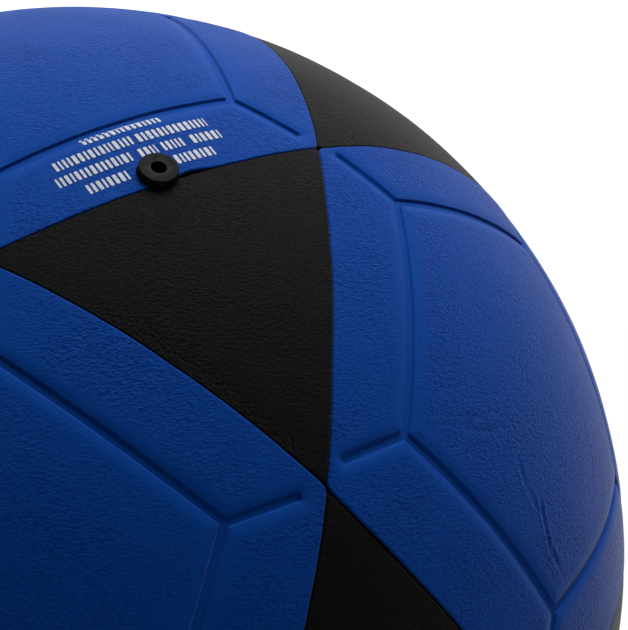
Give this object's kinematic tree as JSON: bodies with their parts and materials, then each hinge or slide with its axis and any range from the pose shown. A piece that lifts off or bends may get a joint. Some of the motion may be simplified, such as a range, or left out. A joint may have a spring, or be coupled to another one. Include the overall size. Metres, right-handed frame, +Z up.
{
  "type": "laminated football",
  "caption": "Inflated laminated sports ball of pentagon and triangle panels over a wound carcass and bladder, with a push-in needle valve.",
  "frame": {"origin": "centre of the ball", "axes": "+Z up, as the ball lies; -Y is the side that carries the valve, which points up and forwards at about 46 degrees"},
  "size_m": [0.2196, 0.2194, 0.2198],
  "materials": {
    "blue_skin": "deep blue synthetic leather, fine pebble grain, semi-matte",
    "black_skin": "black synthetic leather, fine pebble grain, semi-matte",
    "carcass_rubber": "matte moulded rubber",
    "nylon_thread": "wound nylon thread",
    "bladder_rubber": "smooth butyl rubber",
    "valve_rubber": "matte moulded rubber",
    "insert_rubber": "matte moulded rubber, slightly dusty"
  },
  "bodies": {
    "ball": {"pentagon_panel_01": "blue_skin", "pentagon_panel_02": "blue_skin", "pentagon_panel_03": "blue_skin", "pentagon_panel_04": "blue_skin", "pentagon_panel_05": "blue_skin", "pentagon_panel_06": "blue_skin", "pentagon_panel_07": "blue_skin", "pentagon_panel_08": "blue_skin", "pentagon_panel_09": "blue_skin", "pentagon_panel_10": "blue_skin", "pentagon_panel_11": "blue_skin", "pentagon_panel_12": "blue_skin", "triangle_panel_01": "black_skin", "triangle_panel_02": "black_skin", "triangle_panel_03": "black_skin", "triangle_panel_04": "black_skin", "triangle_panel_05": "black_skin", "triangle_panel_06": "black_skin", "triangle_panel_07": "black_skin", "triangle_panel_08": "black_skin", "triangle_panel_09": "black_skin", "triangle_panel_10": "black_skin", "triangle_panel_11": "black_skin", "triangle_panel_12": "black_skin", "triangle_panel_13": "black_skin", "triangle_panel_14": "black_skin", "triangle_panel_15": "black_skin", "triangle_panel_16": "black_skin", "triangle_panel_17": "black_skin", "triangle_panel_18": "black_skin", "triangle_panel_19": "black_skin", "triangle_panel_20": "black_skin", "rubber_carcass": "carcass_rubber", "nylon_winding": "nylon_thread", "air_bladder": "bladder_rubber", "valve_housing": "valve_rubber"},
    "valve_plug": {"valve_insert": "insert_rubber"}
  },
  "joints": [
    {"name": "valve_insert_pull", "type": "slide", "parent": "ball", "child": "valve_plug", "axis": [0.1225, -0.6876, 0.7157], "range_m": [0, 0.018]}
  ]
}
